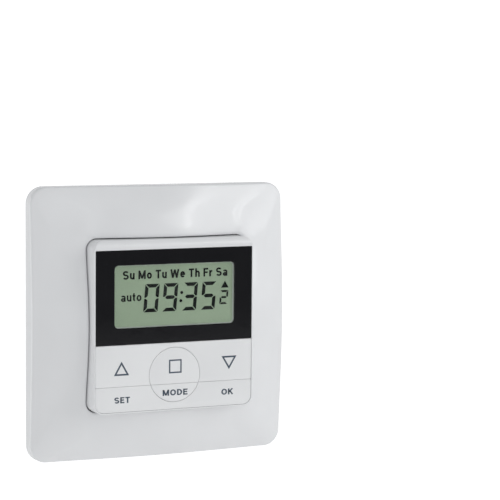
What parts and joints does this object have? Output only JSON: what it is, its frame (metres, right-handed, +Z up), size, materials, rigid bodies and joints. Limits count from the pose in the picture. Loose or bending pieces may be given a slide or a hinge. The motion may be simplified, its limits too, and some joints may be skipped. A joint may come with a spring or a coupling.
{
  "type": "wall thermostat",
  "caption": "Square programmable wall thermostat for a flush wall box: crowned cover frame, raised control module with LCD, rocker bars and split round key, relay module behind.",
  "frame": {"origin": "centre of the 60 mm wall box in the plane of the wall, which is the back face of the support plate", "axes": "+X to the right seen from the front, +Y into the wall, +Z up; the front faces -Y"},
  "size_m": [0.08, 0.042, 0.08],
  "materials": {
    "white_plastic": "polished moulded white",
    "key_plastic": "fine satin white",
    "black_panel": "polished black",
    "clear_lens": "clear polished",
    "lcd_glass": "reflective grey-green",
    "light_grey_plastic": "fine matt",
    "black_rubber": "matt",
    "circuit_board": "green solder resist",
    "black_plastic": "fine matt",
    "plated_steel": "zinc plated",
    "zinc_steel": "zinc plated sheet",
    "switch_steel": "tinned",
    "grey_plastic": "fine spark texture",
    "terminal_plastic": "fine matt",
    "relay_blue": "moulded blue",
    "capacitor_yellow": "moulded yellow"
  },
  "bodies": {
    "root": {"cover_frame": "white_plastic", "bezel": "white_plastic", "control_rear_cover": "white_plastic", "display_surround": "black_panel", "display_lens": "clear_lens", "lcd_panel": "lcd_glass", "lcd_holder": "light_grey_plastic", "contact_strip": "black_rubber", "control_board": "circuit_board", "power_board": "circuit_board", "processor": "black_plastic", "backup_capacitor": "plated_steel", "temperature_sensor": "black_plastic", "pin_header": "black_plastic", "header_socket": "black_plastic", "support_plate": "zinc_steel", "power_housing": "grey_plastic", "power_lid": "grey_plastic", "terminal_block": "terminal_plastic", "relay_1": "relay_blue", "relay_2": "relay_blue", "mains_capacitor": "capacitor_yellow", "smoothing_capacitor": "black_plastic", "fuse": "black_plastic", "varistor": "relay_blue", "switch_up": "switch_steel", "switch_stop": "switch_steel", "switch_down": "switch_steel", "switch_set": "switch_steel", "switch_mode": "switch_steel", "switch_ok": "switch_steel", "cover_screw_left": "plated_steel", "cover_screw_right": "plated_steel", "housing_screw_upper_left": "plated_steel", "housing_screw_upper_right": "plated_steel", "housing_screw_lower_left": "plated_steel", "housing_screw_lower_right": "plated_steel", "terminal_screw_1": "plated_steel", "terminal_screw_2": "plated_steel", "terminal_screw_3": "plated_steel", "terminal_screw_4": "plated_steel", "terminal_screw_5": "plated_steel"},
    "rocker_up_down": {"rocker_up_down": "key_plastic", "plunger_up": "black_plastic", "plunger_down": "black_plastic"},
    "rocker_set_ok": {"rocker_set_ok": "key_plastic", "plunger_set": "black_plastic", "plunger_ok": "black_plastic"},
    "key_stop": {"key_stop": "key_plastic", "plunger_stop": "black_plastic"},
    "key_mode": {"key_mode": "key_plastic", "plunger_mode": "black_plastic"}
  },
  "joints": [
    {"name": "up_down_tilt", "type": "hinge", "parent": "root", "child": "rocker_up_down", "pos_m": [0, -0.01385, -0.00585], "axis": [0, 0, 1], "range_deg": [-1.2, 1.2], "stiffness_Nm_per_rad": 0.12},
    {"name": "set_ok_tilt", "type": "hinge", "parent": "root", "child": "rocker_set_ok", "pos_m": [0, -0.01385, -0.0235], "axis": [0, 0, 1], "range_deg": [-1.2, 1.2], "stiffness_Nm_per_rad": 0.12},
    {"name": "stop_press", "type": "slide", "parent": "root", "child": "key_stop", "axis": [0, 1, 0], "range_m": [0, 0.00035], "stiffness_N_per_m": 300, "springref_m": -0.001},
    {"name": "mode_press", "type": "slide", "parent": "root", "child": "key_mode", "axis": [0, 1, 0], "range_m": [0, 0.00035], "stiffness_N_per_m": 300, "springref_m": -0.001}
  ]
}
